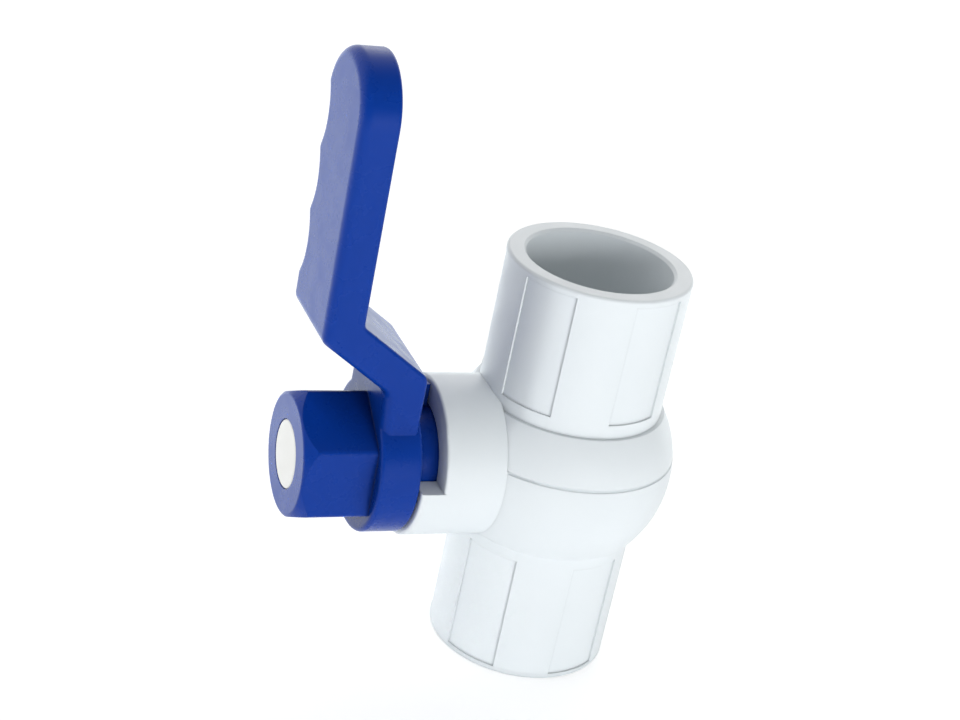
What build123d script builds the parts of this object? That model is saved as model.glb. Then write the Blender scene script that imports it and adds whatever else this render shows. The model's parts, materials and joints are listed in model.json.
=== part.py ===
from build123d import *

import os
from collections import Counter
from math import cos, radians, sqrt, tan

# Long handle ball valve for 3/4 inch plastic pipe. Millimetres, +Z along the pipe.
# Pieces are drawn about the ball's centre and saved with the lower socket's mouth at the origin.
# The stem runs along -X. "Reach" below means a distance from the pipe's axis along the stem.

# Pipe sockets
PIPE_OD = 26.7
SOCKET_CLEARANCE = 0.1
SOCKET_WALL = 3.55
SOCKET_DEPTH = 22.0
SOCKET_LEAD_IN = 0.5
RIM_ROUND = 0.6
HALF_LENGTH = 39.5

# Recessed panels round each socket
PANEL_COUNT = 5
PANEL_DEPTH = 0.35
PANEL_RIM_BAND = 1.2
PANEL_SHOULDER_BAND = 2.6

# Round shell and the seam where its two mouldings meet
SHELL_R = 21.7
SHOULDER_Z = 12.5
SEAM_Z = 4.1
SEAM_GROOVE_R = 0.3
LIP_HEIGHT = 2.5
LIP_SHARE = 0.5
WELD_GAP = 0.02

# Ball, seats and their rings
BALL_R = 15.5
PORT_R = 9.5
CHAMBER_CLEARANCE = 0.9
SEAT_CLEARANCE = 0.12
SEAT_R = 13.4
SEAT_FACE_Z = 9.3
SEAT_BACK_Z = 14.2
SEAT_FIT = 0.05
SEAT_RING_SECTION = 1.6
SEAT_RING_GROOVE = 2.0

# Stem and its seals
STEM_R = 6.0
STEM_CLEARANCE = 0.06
TANG_THICKNESS = 5.0
TANG_WIDTH = 11.0
TANG_DEPTH = 3.7
TANG_CLEARANCE = 0.1
FLANGE_R = 7.5
FLANGE_THICKNESS = 2.2
FLANGE_BALL_GAP = 0.5
FLANGE_CLEARANCE = 0.15
THRUST_WASHER_THICKNESS = 1.0
FACE_GAP = 0.1
STEM_RING_SECTION = 1.4
STEM_RING_GROOVE = 1.8
STEM_RING_LAND = 1.2
DRIVE_FLATS = 9.0
DRIVE_CLEARANCE = 0.06

# Stem boss with its half-height stop rim
BOSS_R = 14.7
BOSS_REACH = 27.3
BOSS_ROUND = 0.5
CUP_R = 10.0
CUP_DEPTH = 1.0
STOP_RIM_HEIGHT = 4.1
SADDLE_WALL = 1.2

# Handle: sleeve, collar, hexagonal hub
SLEEVE_GAP = 0.3
RIM_GAP = 0.3
COLLAR_R = 14.0
COLLAR_THICKNESS = 7.7
COLLAR_ROUND = 0.8
HUB_FLATS = 22.2
HUB_LENGTH = 13.1
HUB_CORNER_ROUND = 1.2
HUB_FACE_INSET = 0.25
HUB_TAPER_ANGLE = 40.0
HUB_END_ROUND = 0.5
LUG_SWEEP = 88.0
LUG_START = 1.0

# Handle: cranked lever
LEVER_WIDTH = 20.6
LEVER_THICKNESS = 6.8
LEVER_REACH = 75.3
CRANK_ANGLE = 36.0
CRANK_HEIGHT = 18.8
BEND_INNER_ROUND = 1.6
BEND_OUTER_ROUND = 2.2
FACE_EDGE_ROUND = 2.0
BACK_EDGE_ROUND = 0.7
SCALLOP_COUNT = 3
SCALLOP_PITCH = 11.5
SCALLOP_DEPTH = 1.9
SCALLOP_FIRST = 37.7
SCALLOP_LOBE_ROUND = 2.6
CORE_WALL = 2.4
CORE_SKIN = 2.6
CORE_RIB = 1.8
CORE_BAYS = 4

# Handle fixing: screw, washer and plug
SCREW_R = 2.0
SCREW_LENGTH = 12.0
SCREW_HEAD_R = 4.0
SCREW_HEAD_HEIGHT = 2.6
SCREW_CLEARANCE = 0.1
CROSS_WIDTH = 0.9
CROSS_LENGTH = 4.4
CROSS_DEPTH = 1.3
WASHER_R = 5.0
WASHER_THICKNESS = 0.8
POCKET_CLEARANCE = 0.15
HUB_WEB = 2.5
STEM_END_GAP = 0.2
CAP_R = 6.2
CAP_THICKNESS = 2.9
CAP_ROUND = 0.4
CAP_PLUG_WALL = 0.9
CAP_PLUG_LENGTH = 1.2
CAP_FIT = 0.06

# Sizes that follow from those above
SOCKET_BORE_R = PIPE_OD / 2 + SOCKET_CLEARANCE
SOCKET_R = SOCKET_BORE_R + SOCKET_WALL
SOCKET_STOP_Z = HALF_LENGTH - SOCKET_DEPTH
CHAMBER_R = BALL_R + CHAMBER_CLEARANCE
SEAM_R = sqrt(SHELL_R**2 - SEAM_Z**2)
LIP_TOP_Z = SEAM_Z + LIP_HEIGHT
LIP_R = CHAMBER_R + LIP_SHARE * (sqrt(SHELL_R**2 - LIP_TOP_Z**2) - CHAMBER_R)
POCKET_BACK_Z = SEAT_BACK_Z + SEAT_FIT
STEM_BORE_R = STEM_R + STEM_CLEARANCE
FLANGE_START = BALL_R + FLANGE_BALL_GAP
FLANGE_END = FLANGE_START + FLANGE_THICKNESS
THRUST_FLOOR = FLANGE_END + THRUST_WASHER_THICKNESS + FACE_GAP
CUP_FLOOR = BOSS_REACH - CUP_DEPTH
SADDLE_R = FLANGE_R + FLANGE_CLEARANCE + SADDLE_WALL
STOP_RIM_REACH = BOSS_REACH + STOP_RIM_HEIGHT
COLLAR_BACK = STOP_RIM_REACH + RIM_GAP
COLLAR_FRONT = COLLAR_BACK + COLLAR_THICKNESS
HUB_END = COLLAR_FRONT + HUB_LENGTH
SLEEVE_R = CUP_R - SLEEVE_GAP
SLEEVE_END = CUP_FLOOR + SLEEVE_GAP
DRIVE_START = CUP_FLOOR + FACE_GAP
CAP_FLOOR = HUB_END - CAP_THICKNESS - FACE_GAP
SCREW_POCKET_R = WASHER_R + POCKET_CLEARANCE
WASHER_FLOOR = CAP_FLOOR - CAP_PLUG_LENGTH - SCREW_HEAD_HEIGHT - WASHER_THICKNESS - FACE_GAP
STEM_SOCKET_END = WASHER_FLOOR - HUB_WEB
STEM_END = STEM_SOCKET_END - STEM_END_GAP
ROOT_LINE = COLLAR_FRONT - LEVER_THICKNESS / 2
GRIP_LINE = HUB_END - LEVER_THICKNESS / 2


def rod(radius, start, end):
    """A cylinder on the local Z axis between two heights."""
    return Pos(0, 0, start) * Cylinder(radius, end - start, align=(Align.CENTER, Align.CENTER, Align.MIN))


def tube(inner, outer, start, end):
    """A plain ring on the local Z axis between two heights."""
    return rod(outer, start, end) - rod(inner, start, end)


def wedge(radius, start_angle, sweep, start, end):
    """A pie slice of a cylinder about the local Z axis; angles run from +X towards +Y."""
    slice_face = make_face(
        [
            Line((0, 0), PolarLine((0, 0), radius, start_angle) @ 1),
            CenterArc((0, 0), radius, start_angle, sweep),
            Line(PolarLine((0, 0), radius, start_angle + sweep) @ 1, (0, 0)),
        ]
    )
    return Pos(0, 0, start) * extrude(slice_face, end - start)


def along_stem(shape):
    """Turns local Z to the stem's direction, -X, and local X to the pipe's direction, +Z."""
    return Rot(0, -90, 0) * shape


def above_seam():
    """The half space above the seam, as a block larger than the valve."""
    size = 4 * HALF_LENGTH
    return Pos(0, 0, SEAM_Z) * Box(size, size, size, align=(Align.CENTER, Align.CENTER, Align.MIN))


def socket_panels():
    """The shallow recesses round the upper socket, the first one opposite the stem."""
    start = SHOULDER_Z + PANEL_SHOULDER_BAND
    end = HALF_LENGTH - PANEL_RIM_BAND
    sweep = 180 / PANEL_COUNT
    panel = wedge(SOCKET_R + PANEL_DEPTH, -sweep / 2, sweep, start, end) - rod(SOCKET_R - PANEL_DEPTH, start, end)
    return [Rot(0, 0, turn * 360 / PANEL_COUNT) * panel for turn in range(PANEL_COUNT)]


def shell_outside():
    """The round shell, cut flat at its shoulders, with a socket at each end."""
    barrel = rod(SOCKET_R, -HALF_LENGTH, HALF_LENGTH)
    barrel = fillet(barrel.edges().filter_by(GeomType.CIRCLE), RIM_ROUND)
    globe = Sphere(SHELL_R) & rod(SHELL_R, -SHOULDER_Z, SHOULDER_Z)
    panels = socket_panels()
    return barrel + globe - panels - [Rot(180, 0, 0) * panel for panel in panels]


def flow_passage():
    """Everything hollow along the pipe: sockets, ports, seat pockets and the ball's chamber."""
    hollow = rod(PORT_R, -HALF_LENGTH, HALF_LENGTH) + rod(CHAMBER_R, -SEAT_FACE_Z, SEAT_FACE_Z)
    hollow += rod(SEAT_R + SEAT_FIT, -POCKET_BACK_Z, POCKET_BACK_Z)
    socket = rod(SOCKET_BORE_R, SOCKET_STOP_Z, HALF_LENGTH)
    lead_in = Pos(0, 0, HALF_LENGTH - SOCKET_LEAD_IN / 2) * Cone(
        SOCKET_BORE_R, SOCKET_BORE_R + SOCKET_LEAD_IN, SOCKET_LEAD_IN
    )
    mouth = socket + lead_in
    return hollow + mouth + Rot(180, 0, 0) * mouth


def boss_outside():
    """The stem boss: a round post with a raised rim over its lower half that stops the handle."""
    post = rod(BOSS_R, CHAMBER_R / 2, BOSS_REACH)
    boss = post + wedge(BOSS_R, 90, 180, BOSS_REACH, STOP_RIM_REACH)
    outer_ends = [edge for edge in boss.edges().filter_by(GeomType.CIRCLE) if edge.center().Z > CHAMBER_R]
    return along_stem(fillet(outer_ends, BOSS_ROUND))


def stem_passage():
    """The stem's bore through the boss, with the flange's pocket inside and the sleeve's cup outside."""
    bore = rod(STEM_BORE_R, 0, STOP_RIM_REACH) + rod(CUP_R, CUP_FLOOR, STOP_RIM_REACH)
    return along_stem(bore + rod(FLANGE_R + FLANGE_CLEARANCE, 0, THRUST_FLOOR))


def seam_groove():
    """The fine round groove where the two mouldings meet."""
    return Pos(0, 0, SEAM_Z) * Torus(SEAM_R, SEAM_GROOVE_R)


def make_end_connector():
    """The upper moulding: socket and shell cap, with a saddle round the stem boss."""
    cap = (shell_outside() & above_seam()) - flow_passage() - seam_groove()
    cap -= rod(LIP_R + WELD_GAP, SEAM_Z, LIP_TOP_Z + WELD_GAP)
    return cap - along_stem(rod(SADDLE_R + WELD_GAP, 0, BOSS_REACH))


def make_valve_body():
    """The lower moulding: socket, shell and stem boss, with a lip that locates the upper moulding."""
    shell = shell_outside() - above_seam() - seam_groove()
    shell += rod(LIP_R, 0, LIP_TOP_Z)
    upper_space = Sphere(SHELL_R + WELD_GAP) + rod(SOCKET_R + WELD_GAP, 0, HALF_LENGTH)
    shell += boss_outside() - (upper_space & above_seam())
    shell += along_stem(rod(SADDLE_R, 0, SHELL_R + WELD_GAP))
    hollow = flow_passage() + rod(CHAMBER_R, 0, SHELL_R)
    return shell - hollow - stem_passage()


def make_ball():
    """The ball with its port along the pipe and a drive slot across it, under the stem."""
    slot_floor = BALL_R - TANG_DEPTH - TANG_CLEARANCE
    slot_width = TANG_THICKNESS + 2 * TANG_CLEARANCE
    slot = Box(slot_width, 2 * BALL_R, BALL_R, align=(Align.CENTER, Align.CENTER, Align.MIN))
    return Sphere(BALL_R) - rod(PORT_R, -BALL_R, BALL_R) - along_stem(Pos(0, 0, slot_floor) * slot)


def make_seat():
    """The upper seat: a ring hollowed to the ball, with a groove in its back for the rubber ring."""
    ring = tube(PORT_R, SEAT_R, SEAT_FACE_Z, SEAT_BACK_Z) - Sphere(BALL_R + SEAT_CLEARANCE)
    groove_mid = (PORT_R + SEAT_R) / 2
    groove = tube(
        groove_mid - SEAT_RING_GROOVE / 2,
        groove_mid + SEAT_RING_GROOVE / 2,
        SEAT_BACK_Z - SEAT_RING_SECTION,
        SEAT_BACK_Z,
    )
    return ring - groove


def make_seat_ring():
    """The rubber ring behind the upper seat."""
    middle = SEAT_BACK_Z - SEAT_RING_SECTION / 2
    return Pos(0, 0, middle) * Torus((PORT_R + SEAT_R) / 2, SEAT_RING_SECTION / 2)


def stem_groove_start(index):
    """Where a stem seal's groove starts; the first is a land's width outside the thrust washer."""
    return THRUST_FLOOR + STEM_RING_LAND + index * (STEM_RING_GROOVE + STEM_RING_LAND)


def drive_section(extra):
    """The stem's double flat section, grown by a clearance for the handle's socket."""
    across = DRIVE_FLATS + 2 * extra
    return Circle(STEM_R + extra) & Rectangle(4 * STEM_R, across)


def make_stem():
    """The stem: tang, blow-out flange, two seal grooves, and double flats for the handle."""
    tang_end = BALL_R - TANG_DEPTH
    tang = Box(TANG_THICKNESS, TANG_WIDTH, FLANGE_END - tang_end, align=(Align.CENTER, Align.CENTER, Align.MIN))
    stem = Pos(0, 0, tang_end) * tang
    stem += rod(FLANGE_R, FLANGE_START, FLANGE_END) + rod(STEM_R, FLANGE_START, DRIVE_START)
    stem += Pos(0, 0, DRIVE_START) * extrude(drive_section(0), STEM_END - DRIVE_START)
    for index in range(2):
        start = stem_groove_start(index)
        stem -= tube(STEM_R - STEM_RING_SECTION, 2 * STEM_R, start, start + STEM_RING_GROOVE)
    stem -= rod(SCREW_R, WASHER_FLOOR + WASHER_THICKNESS - SCREW_LENGTH, STEM_END)
    return along_stem(stem)


def make_stem_ring(index):
    """A rubber ring in one of the stem's grooves."""
    middle = stem_groove_start(index) + STEM_RING_GROOVE / 2
    return along_stem(Pos(0, 0, middle) * Torus(STEM_R - STEM_RING_SECTION / 2, STEM_RING_SECTION / 2))


def make_thrust_washer():
    """The washer between the stem's flange and the boss."""
    return along_stem(tube(STEM_BORE_R, FLANGE_R, FLANGE_END, FLANGE_END + THRUST_WASHER_THICKNESS))


def crank_height(reach, side):
    """Height of the crank's upper (+1) or lower (-1) face at a reach along the stem."""
    slope = tan(radians(CRANK_ANGLE))
    return CRANK_HEIGHT + slope * (reach - ROOT_LINE) + side * LEVER_THICKNESS / 2 / cos(radians(CRANK_ANGLE))


def lever_side():
    """The lever seen from the side: a bar of even thickness, cranked outwards; X is up, Y the reach."""
    half = LEVER_THICKNESS / 2
    root_back = (crank_height(ROOT_LINE - half, 1), ROOT_LINE - half)
    grip_back = (crank_height(GRIP_LINE - half, 1), GRIP_LINE - half)
    grip_front = (crank_height(GRIP_LINE + half, -1), GRIP_LINE + half)
    root_front = (crank_height(ROOT_LINE + half, -1), ROOT_LINE + half)
    outline = Polyline(
        (0, ROOT_LINE - half),
        root_back,
        grip_back,
        (LEVER_REACH, GRIP_LINE - half),
        (LEVER_REACH, GRIP_LINE + half),
        grip_front,
        root_front,
        (0, ROOT_LINE + half),
        close=True,
    )
    side = make_face(outline)
    inner_bends = [side.vertices().sort_by_distance(point)[0] for point in (grip_back, root_front)]
    side = fillet(inner_bends, BEND_INNER_ROUND)
    outer_bends = [side.vertices().sort_by_distance(point)[0] for point in (root_back, grip_front)]
    return fillet(outer_bends, BEND_OUTER_ROUND)


def lever_plan():
    """The lever seen from the front: a round end, and finger scallops along the far edge."""
    half = LEVER_WIDTH / 2
    straight = LEVER_REACH - half
    plan = Rectangle(straight, LEVER_WIDTH, align=(Align.MIN, Align.CENTER)) + Pos(straight, 0) * Circle(half)
    scallop_r = (SCALLOP_PITCH**2 / 4 + SCALLOP_DEPTH**2) / (2 * SCALLOP_DEPTH)
    centres = [SCALLOP_FIRST + index * SCALLOP_PITCH for index in range(SCALLOP_COUNT)]
    for centre in centres:
        plan -= Pos(centre, half - SCALLOP_DEPTH + scallop_r) * Circle(scallop_r)
    lobes = [(centre - SCALLOP_PITCH / 2, half) for centre in centres]
    corners = [plan.vertices().sort_by_distance(point)[0] for point in lobes]
    corners.append(plan.vertices().sort_by(Axis.Y)[-1])
    return fillet(list(dict.fromkeys(corners)), SCALLOP_LOBE_ROUND)


def rim_edges(solid, outward):
    """The edges where the lever's front (+1) or back (-1) faces meet its sides."""
    faces = [face for face in solid.faces() if outward * face.normal_at(face.center()).Z > 0.3]
    uses = Counter(edge for face in faces for edge in face.edges())
    return [edge for edge, count in uses.items() if count == 1 and edge.center().X > COLLAR_R / 2]


def lever():
    """The cranked lever with rounded edges, still solid behind."""
    side = extrude(Plane.XZ * lever_side(), LEVER_WIDTH, both=True)
    bar = side & extrude(lever_plan(), HUB_END)
    bar = fillet(rim_edges(bar, 1), FACE_EDGE_ROUND)
    return fillet(rim_edges(bar, -1), BACK_EDGE_ROUND)


def lever_cores():
    """The pockets moulded into the back of the grip, with ribs left between them."""
    back = GRIP_LINE - LEVER_THICKNESS / 2
    start = crank_height(back, 1) + BEND_INNER_ROUND + CORE_WALL
    end = LEVER_REACH - LEVER_WIDTH / 2
    near = LEVER_WIDTH / 2 - CORE_WALL
    far = near - SCALLOP_DEPTH
    tip_r = (near + far) / 2
    middle = (far - near) / 2
    window = Pos(start, middle) * Rectangle(end - start, near + far, align=(Align.MIN, Align.CENTER))
    window += Pos(end, middle) * Circle(tip_r)
    pitch = (end + tip_r - start + CORE_RIB) / CORE_BAYS
    for bay in range(1, CORE_BAYS):
        window -= Pos(start + bay * pitch - CORE_RIB / 2, 0) * Rectangle(CORE_RIB, 2 * LEVER_WIDTH)
    return Pos(0, 0, back) * extrude(window, LEVER_THICKNESS - CORE_SKIN)


def hub():
    """The hexagonal hub with a corner towards the grip, tapered to a round end face."""
    section = RegularPolygon(HUB_FLATS / 2, 6, major_radius=False)
    section = fillet(section.vertices(), HUB_CORNER_ROUND)
    length = HUB_END - COLLAR_BACK
    face_r = HUB_FLATS / 2 - HUB_FACE_INSET
    root_r = face_r + length * tan(radians(HUB_TAPER_ANGLE))
    taper = Cone(root_r, face_r, length, align=(Align.CENTER, Align.CENTER, Align.MIN))
    post = Pos(0, 0, COLLAR_BACK) * (extrude(section, length) & taper)
    return fillet(post.faces().sort_by(Axis.Z)[-1].edges(), HUB_END_ROUND)


def make_handle():
    """The handle moulding: hub, collar, sleeve, stop lug and lever, with the stem's socket inside."""
    collar = rod(COLLAR_R, COLLAR_BACK, COLLAR_FRONT)
    collar = fillet(collar.edges().filter_by(GeomType.CIRCLE), COLLAR_ROUND)
    lug_start = BOSS_REACH + SLEEVE_GAP
    lug = wedge(COLLAR_R, LUG_START, LUG_SWEEP, lug_start, COLLAR_BACK + COLLAR_ROUND)
    handle = lever() - lever_cores() + collar + hub()
    handle += lug + rod(SLEEVE_R, SLEEVE_END, COLLAR_FRONT)
    socket = extrude(drive_section(DRIVE_CLEARANCE), STEM_SOCKET_END - SLEEVE_END)
    handle -= Pos(0, 0, SLEEVE_END) * socket
    handle -= rod(SCREW_R + SCREW_CLEARANCE, STEM_SOCKET_END, WASHER_FLOOR)
    handle -= rod(SCREW_POCKET_R, WASHER_FLOOR, CAP_FLOOR)
    return along_stem(handle - rod(CAP_R + CAP_FIT, CAP_FLOOR, HUB_END))


def make_handle_washer():
    """The flat washer under the screw's head."""
    washer = tube(SCREW_R + SCREW_CLEARANCE, WASHER_R, WASHER_FLOOR, WASHER_FLOOR + WASHER_THICKNESS)
    return along_stem(washer)


def make_handle_screw():
    """The pan head screw that holds the handle on the stem, with a cross recess."""
    under_head = WASHER_FLOOR + WASHER_THICKNESS
    head_top = under_head + SCREW_HEAD_HEIGHT
    head = rod(SCREW_HEAD_R, under_head, head_top)
    head = fillet(head.edges().sort_by(Axis.Z)[-1], SCREW_HEAD_HEIGHT / 2)
    bar = Box(CROSS_LENGTH, CROSS_WIDTH, CROSS_DEPTH, align=(Align.CENTER, Align.CENTER, Align.MAX))
    cross = bar + Rot(0, 0, 90) * bar
    return along_stem(head - Pos(0, 0, head_top) * cross + rod(SCREW_R, under_head - SCREW_LENGTH, under_head))


def make_handle_cap():
    """The round plug in the hub's end, with a short ring that pushes into the screw's pocket."""
    floor = HUB_END - CAP_THICKNESS
    cap = rod(CAP_R, floor, HUB_END)
    cap = fillet(cap.edges().sort_by(Axis.Z)[-1], CAP_ROUND)
    plug_r = SCREW_POCKET_R - CAP_FIT
    return along_stem(cap + tube(plug_r - CAP_PLUG_WALL, plug_r, floor - CAP_PLUG_LENGTH, floor))


def mirrored(shape):
    """The same piece at the lower end of the ball."""
    return Rot(180, 0, 0) * shape


def main():
    seat = make_seat()
    seat_ring = make_seat_ring()
    pieces = {
        "valve_body": make_valve_body(),
        "end_connector": make_end_connector(),
        "ball": make_ball(),
        "seat_upper": seat,
        "seat_lower": mirrored(seat),
        "seat_oring_upper": seat_ring,
        "seat_oring_lower": mirrored(seat_ring),
        "stem": make_stem(),
        "stem_thrust_washer": make_thrust_washer(),
        "stem_oring_inner": make_stem_ring(0),
        "stem_oring_outer": make_stem_ring(1),
        "handle": make_handle(),
        "handle_washer": make_handle_washer(),
        "handle_screw": make_handle_screw(),
        "handle_cap": make_handle_cap(),
    }
    os.makedirs("parts", exist_ok=True)
    for name, piece in pieces.items():
        export_step(Pos(0, 0, HALF_LENGTH) * piece, f"parts/{name}.step")


main()
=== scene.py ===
import json
from math import cos, pi, radians, sin

import bpy
from mathutils import Matrix, Vector


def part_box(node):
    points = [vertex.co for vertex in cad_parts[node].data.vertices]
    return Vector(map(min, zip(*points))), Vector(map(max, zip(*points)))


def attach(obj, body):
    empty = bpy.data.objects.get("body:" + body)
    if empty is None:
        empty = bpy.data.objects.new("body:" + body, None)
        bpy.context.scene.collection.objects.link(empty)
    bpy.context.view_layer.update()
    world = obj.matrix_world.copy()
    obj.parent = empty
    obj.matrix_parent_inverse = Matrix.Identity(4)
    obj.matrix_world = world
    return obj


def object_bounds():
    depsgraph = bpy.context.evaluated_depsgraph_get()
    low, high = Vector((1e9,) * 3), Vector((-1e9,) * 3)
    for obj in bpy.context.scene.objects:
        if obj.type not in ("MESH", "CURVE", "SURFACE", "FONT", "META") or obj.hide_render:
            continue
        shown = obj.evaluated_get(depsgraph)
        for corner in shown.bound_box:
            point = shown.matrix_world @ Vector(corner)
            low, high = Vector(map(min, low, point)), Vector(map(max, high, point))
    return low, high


# The looks of the long handle ball valve: materials, light and the photograph's camera.
# Metres, in the CAD frame: +Z along the pipe, the stem and handle towards -X.

# Camera, placed from the photograph's perspective
CAMERA_EYE = (-0.1531, -0.2886, 0.2084)
CAMERA_HEADING = 24.89
CAMERA_DIP = 25.21
CAMERA_ROLL = 11.88
CAMERA_LENS = 73.76
CAMERA_NEAR = 0.01
SENSOR_WIDTH = 36.0

# Painted shade in inner corners: how far out it reaches, in metres, and what share of the colour is left
FINE_PAINTED_SHADE = (0.0006, 0.7)
DEEP_PAINTED_SHADE = (0.011, 0.05)
PAINTED_SHADE_SAMPLES = 6
EDGE_SAMPLES = 6

# Noise in the finishes: features a metre, and how finely they are broken up
MOTTLE_SCALE = 55.0
GLOSS_SCALE = 260.0
BROAD_DETAIL = 4.0
SKIN_SCALE = 1500.0
SKIN_DETAIL = 2.0
NOISE_BAND = (0.3, 0.7)
GLOSS_SWING = (0.85, 1.15)
SKIN_STRENGTH = 0.35

# Finishes, by the record's material slots: linear colours, lengths in metres
FINISHES = {
    "white_plastic": dict(
        colour=(0.795, 0.84, 0.86), shade=(0.775, 0.82, 0.84), roughness=0.34, specular=0.5,
        grain_height=0.000012, edge_round=0.0002,
    ),
    "blue_plastic": dict(
        colour=(0.002, 0.041, 0.315), shade=(0.002, 0.038, 0.298), roughness=0.28, specular=0.22,
        # deep painted shade, reaching far out from inner corners onto the hub's facets under the crank
        grain_height=0.000003, edge_round=0.0003, shade_in_corners=DEEP_PAINTED_SHADE,
    ),
    "cap_plastic": dict(
        colour=(0.86, 0.855, 0.83), shade=(0.81, 0.805, 0.775), roughness=0.42, specular=0.4,
        grain_height=0.000012, edge_round=0.0002,
    ),
    "seat_plastic": dict(
        colour=(0.83, 0.83, 0.81), shade=(0.78, 0.78, 0.755), roughness=0.5, specular=0.3,
        grain_height=0.000010, edge_round=0.0002,
    ),
    "seal_rubber": dict(
        colour=(0.018, 0.018, 0.019), shade=(0.030, 0.030, 0.031), roughness=0.6, specular=0.4,
        grain_height=0.000015, edge_round=0.0001,
    ),
    "fixing_steel": dict(
        colour=(0.60, 0.60, 0.61), shade=(0.50, 0.50, 0.51), roughness=0.32, specular=0.5,
        grain_height=0.000010, edge_round=0.0002, metallic=1.0,
    ),
}

# The handle screw's thread, which starts a little way up from the tip, in metres
SHANK_R = 0.0020
THREAD_START = 0.0008
THREAD_LENGTH = 0.0070
THREAD_PITCH = 0.0011
THREAD_HEIGHT = 0.0003
THREAD_FOOT = 0.0003
THREAD_SINK = 0.0001
THREAD_STEPS = 32

# The studio: white behind the valve and dim on the camera's side
PLAIN_WHITE = (1.0, 1.0, 1.0)
WHITE_SIDE = (-0.15, 0.97, -0.20)
ROOM_WHITE = 1.1
ROOM_DIM = 0.22
ROOM_DIM_SEEN = 0.08
ROOM_TURN = 0.4

# Its floor, which is lifted to white for the camera and behind the valve in reflections
FLOOR_SIZE = 6.0
FLOOR_WHITE = (0.90, 0.90, 0.90)
FLOOR_SHEEN = (0.90, 0.99, 1.0)
FLOOR_ROUGHNESS = 0.9
FLOOR_LIFT = 0.45
FLOOR_LIFT_SEEN = 1.1
FLOOR_LIFT_START = -0.03
FLOOR_LIFT_END = 0.12

# Five soft lamps: widths and heights in metres, powers in watts, beams in degrees
LAMP_COLOUR = (0.97, 0.985, 1.0)
OPEN_BEAM = 180.0
KEY_PLACE = (0.16, -0.95, 0.08)
KEY_SIZE = (0.5, 0.5)
KEY_POWER = 8.7
SIDE_PLACE = (-1.2, 0.0, 0.045)
SIDE_SIZE = (0.08, 0.08)
SIDE_POWER = 2.6
BACK_PLACE = (0.38, 0.71, 0.50)
BACK_SIZE = (0.5, 0.5)
BACK_POWER = 0.75
LOW_PLACE = (-0.55, 0.17, 0.011)
LOW_AIM = (0.0, 0.0, 0.011)
LOW_SIZE = (0.10, 0.018)
LOW_POWER = 0.0010
LOW_BEAM = 4.0
GLOW_PLACE = (-0.10, 0.06, 0.0005)
GLOW_AIM = (-0.10, 0.06, 1.0005)
GLOW_SIZE = (0.7, 0.7)
GLOW_POWER = 0.38

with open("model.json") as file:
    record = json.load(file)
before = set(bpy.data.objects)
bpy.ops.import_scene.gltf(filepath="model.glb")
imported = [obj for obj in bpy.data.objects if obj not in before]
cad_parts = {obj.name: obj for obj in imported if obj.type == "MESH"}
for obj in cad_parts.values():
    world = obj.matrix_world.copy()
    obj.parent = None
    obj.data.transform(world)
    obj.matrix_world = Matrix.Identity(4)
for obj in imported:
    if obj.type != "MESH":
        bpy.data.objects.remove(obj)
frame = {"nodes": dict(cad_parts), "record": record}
cad_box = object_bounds()


def add_node(tree, kind, **values):
    """A shader node with the given input values; a name's underscores stand for spaces."""
    node = tree.nodes.new(kind)
    for name, value in values.items():
        node.inputs[name.replace("_", " ")].default_value = value
    return node


def object_noise(tree, scale, detail):
    """Noise fixed to the piece."""
    place = tree.nodes.new("ShaderNodeTexCoord")
    noise = add_node(tree, "ShaderNodeTexNoise", Scale=scale, Detail=detail)
    tree.links.new(place.outputs["Object"], noise.inputs["Vector"])
    return noise.outputs["Fac"]


def spread(tree, value, low, high):
    """Maps noise from its usual band to the range low to high."""
    least, most = NOISE_BAND
    node = add_node(tree, "ShaderNodeMapRange", From_Min=least, From_Max=most, To_Min=low, To_Max=high)
    tree.links.new(value, node.inputs["Value"])
    return node.outputs["Result"]


def blend_colours(tree, value, first, second):
    """A colour that runs from first to second, colours or sockets, as value goes from 0 to 1."""
    node = tree.nodes.new("ShaderNodeMix")
    node.data_type = "RGBA"
    colours = [socket for socket in node.inputs if socket.type == "RGBA"]
    for socket, colour in zip(colours, (first, second)):
        if isinstance(colour, tuple):
            socket.default_value = (*colour, 1.0)
        else:
            tree.links.new(colour, socket)
    tree.links.new(value, node.inputs["Factor"])
    return next(socket for socket in node.outputs if socket.type == "RGBA")


def corners(tree, reach):
    """Falls from 1 on open faces towards 0 in inner corners, as far out as reach: the mask for painted
    shade.
    """
    node = add_node(tree, "ShaderNodeAmbientOcclusion", Distance=reach)
    node.samples = PAINTED_SHADE_SAMPLES
    node.only_local = True
    return node.outputs["AO"]


def mottle_and_painted_shade(tree, colour, shade, shade_in_corners):
    """The colour, faintly mottled with its shade colour, with shade painted into inner corners."""
    reach, tone = shade_in_corners
    # the darker copy of the colour that inner corners run towards, as painted shade
    painted_dark = tuple(tone * level for level in colour)
    mottle = spread(tree, object_noise(tree, MOTTLE_SCALE, BROAD_DETAIL), 0.0, 1.0)
    return blend_colours(tree, corners(tree, reach), painted_dark, blend_colours(tree, mottle, colour, shade))


def skin_gloss(tree, roughness):
    """A roughness that is a little uneven."""
    least, most = GLOSS_SWING
    return spread(tree, object_noise(tree, GLOSS_SCALE, BROAD_DETAIL), roughness * least, roughness * most)


def skin_normal(tree, grain_height, edge_round):
    """A fine grain over softened edges."""
    edges = add_node(tree, "ShaderNodeBevel", Radius=edge_round)
    edges.samples = EDGE_SAMPLES
    grain = add_node(tree, "ShaderNodeBump", Strength=SKIN_STRENGTH, Distance=grain_height)
    tree.links.new(object_noise(tree, SKIN_SCALE, SKIN_DETAIL), grain.inputs["Height"])
    tree.links.new(edges.outputs["Normal"], grain.inputs["Normal"])
    return grain.outputs["Normal"]


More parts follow.
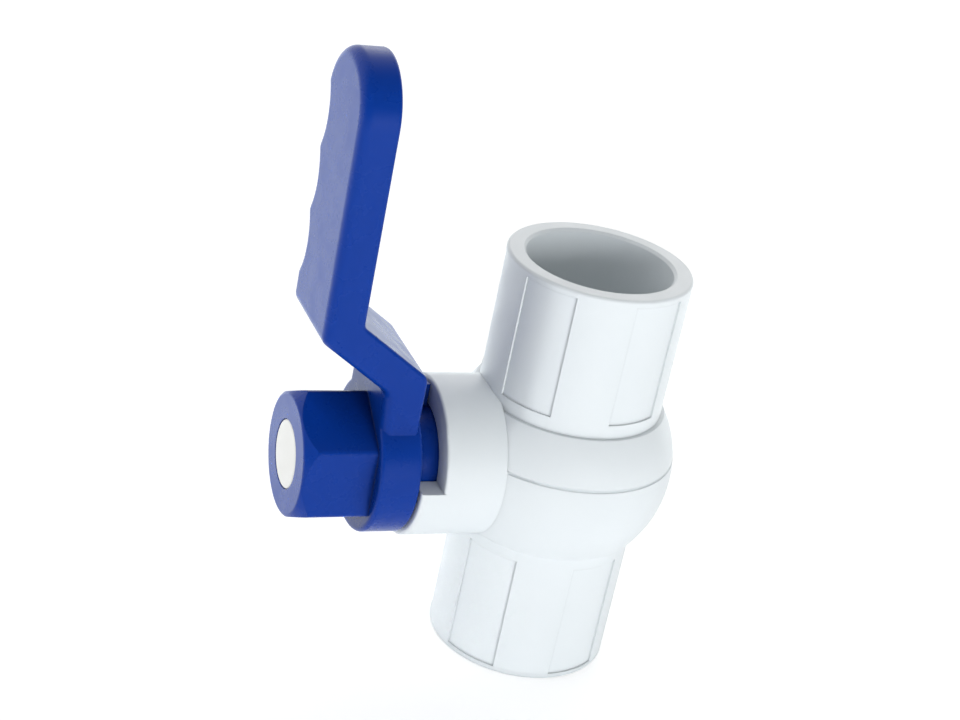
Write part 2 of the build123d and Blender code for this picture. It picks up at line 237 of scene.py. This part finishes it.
def make_finish(name, colour, shade, roughness, specular, grain_height, edge_round,
                shade_in_corners=FINE_PAINTED_SHADE, metallic=0.0):
    """A moulded or turned surface: mottling, uneven gloss, a fine grain, soft edges, and shade painted into
    inner corners.
    """
    material = bpy.data.materials.new(name)
    material.use_nodes = True
    tree = material.node_tree
    shader = tree.nodes["Principled BSDF"]
    shader.inputs["Specular IOR Level"].default_value = specular
    shader.inputs["Metallic"].default_value = metallic
    tree.links.new(mottle_and_painted_shade(tree, colour, shade, shade_in_corners), shader.inputs["Base Color"])
    tree.links.new(skin_gloss(tree, roughness), shader.inputs["Roughness"])
    tree.links.new(skin_normal(tree, grain_height, edge_round), shader.inputs["Normal"])
    return material


def dress_nodes():
    """Gives every CAD node the finish of its slot; gives back the finishes by slot."""
    materials = {slot: make_finish(slot, **finish) for slot, finish in FINISHES.items()}
    for part in frame["record"]["subparts"]:
        node = frame["nodes"][part["node"]]
        node.data.materials.clear()
        node.data.materials.append(materials[part["material_slot"]])
    return materials


def thread_points(steps):
    """Three points at each step along the ridge: foot, crest, foot."""
    low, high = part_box("handle_screw")
    middle = (low + high) / 2
    foot = SHANK_R - THREAD_SINK
    points = []
    for step in range(steps + 1):
        turns = step / THREAD_STEPS
        along = high.x - THREAD_START - THREAD_PITCH * turns
        crest = SHANK_R + THREAD_HEIGHT * min(1.0, turns, (steps - step) / THREAD_STEPS)
        for shift, radius in ((-THREAD_FOOT, foot), (0.0, crest), (THREAD_FOOT, foot)):
            across = radius * cos(2 * pi * turns)
            up = radius * sin(2 * pi * turns)
            points.append((along + shift, middle.y + across, middle.z + up))
    return points


def make_screw_thread(steel):
    """A ridge wound round the handle screw's shank, fading out at both ends, that bites into the stem."""
    steps = round(THREAD_LENGTH / THREAD_PITCH * THREAD_STEPS)
    faces = [(0, 1, 2), (3 * steps + 2, 3 * steps + 1, 3 * steps)]
    for start in range(0, 3 * steps, 3):
        for corner, following in ((0, 1), (1, 2), (2, 0)):
            faces.append((start + corner, start + corner + 3, start + following + 3, start + following))
    mesh = bpy.data.meshes.new("handle_screw_thread")
    mesh.from_pydata(thread_points(steps), [], faces)
    mesh.materials.append(steel)
    thread = bpy.data.objects.new("handle_screw_thread", mesh)
    bpy.context.scene.collection.objects.link(thread)
    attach(thread, "turning_set")


def larger(tree, first, second):
    """The larger of two values."""
    node = tree.nodes.new("ShaderNodeMath")
    node.operation = "MAXIMUM"
    tree.links.new(first, node.inputs[0])
    tree.links.new(second, node.inputs[1])
    return node.outputs["Value"]


def ramp(tree, value, start, end, low, high):
    """Maps value from start..end to low..high, clamped; low and high may be numbers or sockets."""
    node = add_node(tree, "ShaderNodeMapRange", From_Min=start, From_Max=end)
    node.interpolation_type = "SMOOTHSTEP"
    tree.links.new(value, node.inputs["Value"])
    for name, level in (("To Min", low), ("To Max", high)):
        if isinstance(level, float):
            node.inputs[name].default_value = level
        else:
            tree.links.new(level, node.inputs[name])
    return node.outputs["Result"]


def white_side(tree, output):
    """How far a texture coordinate lies towards the white side of the studio."""
    place = tree.nodes.new("ShaderNodeTexCoord")
    along = tree.nodes.new("ShaderNodeVectorMath")
    along.operation = "DOT_PRODUCT"
    along.inputs[1].default_value = WHITE_SIDE
    tree.links.new(place.outputs[output], along.inputs[0])
    return along.outputs["Value"]


def ray_kinds(tree):
    """Two values: 1 for rays from the camera, and 1 for rays that mirror off or pass through a piece."""
    path = tree.nodes.new("ShaderNodeLightPath")
    mirrored = larger(tree, path.outputs["Is Glossy Ray"], path.outputs["Is Transmission Ray"])
    return path.outputs["Is Camera Ray"], mirrored


def make_world():
    """The camera sees white all round; reflections see it behind the valve and a dim room in front."""
    world = bpy.data.worlds.new("studio")
    world.use_nodes = True
    bpy.context.scene.world = world
    tree = world.node_tree
    background = tree.nodes["Background"]
    background.inputs["Color"].default_value = (*PLAIN_WHITE, 1.0)
    from_camera, mirrored = ray_kinds(tree)
    dim = ramp(tree, mirrored, 0.0, 1.0, ROOM_DIM, ROOM_DIM_SEEN)
    room = ramp(tree, white_side(tree, "Generated"), -ROOM_TURN, ROOM_TURN, dim, ROOM_WHITE)
    tree.links.new(larger(tree, room, from_camera), background.inputs["Strength"])


def make_floor():
    """A white floor under the lower socket that keeps the valve's soft shadow and glows behind it."""
    bpy.ops.mesh.primitive_plane_add(size=FLOOR_SIZE, location=(0.0, 0.0, cad_box[0].z))
    floor = bpy.context.object
    floor.name = "studio_floor"
    material = bpy.data.materials.new("floor_white")
    material.use_nodes = True
    tree = material.node_tree
    shader = tree.nodes["Principled BSDF"]
    shader.inputs["Base Color"].default_value = (*FLOOR_WHITE, 1.0)
    shader.inputs["Roughness"].default_value = FLOOR_ROUGHNESS
    shader.inputs["Specular IOR Level"].default_value = 0.0
    from_camera, mirrored = ray_kinds(tree)
    tint = blend_colours(tree, from_camera, FLOOR_SHEEN, PLAIN_WHITE)
    tree.links.new(tint, shader.inputs["Emission Color"])
    sheen = ramp(tree, mirrored, 0.0, 1.0, 0.0, FLOOR_LIFT_SEEN)
    sheen = ramp(tree, white_side(tree, "Object"), FLOOR_LIFT_START, FLOOR_LIFT_END, 0.0, sheen)
    lift = larger(tree, ramp(tree, from_camera, 0.0, 1.0, 0.0, FLOOR_LIFT), sheen)
    tree.links.new(lift, shader.inputs["Emission Strength"])
    floor.data.materials.append(material)


def add_softbox(name, place, aim, size, power, seen=False, beam=OPEN_BEAM):
    """An area lamp of width and height size that faces aim; a seen one shows in reflections."""
    light = bpy.data.lights.new(name, "AREA")
    light.shape = "RECTANGLE"
    light.size, light.size_y = size
    light.energy = power
    light.color = LAMP_COLOUR
    light.spread = radians(beam)
    lamp = bpy.data.objects.new(name, light)
    lamp.location = place
    lamp.rotation_euler = (Vector(aim) - Vector(place)).to_track_quat("-Z", "Y").to_euler()
    lamp.visible_camera = False
    lamp.visible_glossy = seen
    bpy.context.scene.collection.objects.link(lamp)


def make_lights():
    """A low front key, a lamp beyond the handle, a back softbox, a narrow low lamp and the floor's glow."""
    middle = (cad_box[0] + cad_box[1]) / 2
    add_softbox("front_key", KEY_PLACE, middle, KEY_SIZE, KEY_POWER)
    add_softbox("side_lamp", SIDE_PLACE, middle, SIDE_SIZE, SIDE_POWER)
    add_softbox("back_box", BACK_PLACE, middle, BACK_SIZE, BACK_POWER, seen=True)
    add_softbox("low_lamp", LOW_PLACE, LOW_AIM, LOW_SIZE, LOW_POWER, beam=LOW_BEAM)
    add_softbox("floor_glow", GLOW_PLACE, GLOW_AIM, GLOW_SIZE, GLOW_POWER)


def make_camera():
    """The photograph's camera: heading from +Y towards +X, dip below the horizon, then roll."""
    data = bpy.data.cameras.new("photo_camera")
    data.lens = CAMERA_LENS
    data.sensor_width = SENSOR_WIDTH
    data.clip_start = CAMERA_NEAR
    camera = bpy.data.objects.new("photo_camera", data)
    turn = Matrix.Rotation(radians(-CAMERA_HEADING), 4, "Z")
    dip = Matrix.Rotation(radians(90.0 - CAMERA_DIP), 4, "X")
    roll = Matrix.Rotation(radians(CAMERA_ROLL), 4, "Z")
    camera.matrix_world = Matrix.Translation(CAMERA_EYE) @ turn @ dip @ roll
    bpy.context.scene.collection.objects.link(camera)
    bpy.context.scene.camera = camera


bpy.context.scene.view_settings.view_transform = "Standard"
finishes = dress_nodes()
make_screw_thread(finishes["fixing_steel"])
make_world()
make_floor()
make_lights()
make_camera()
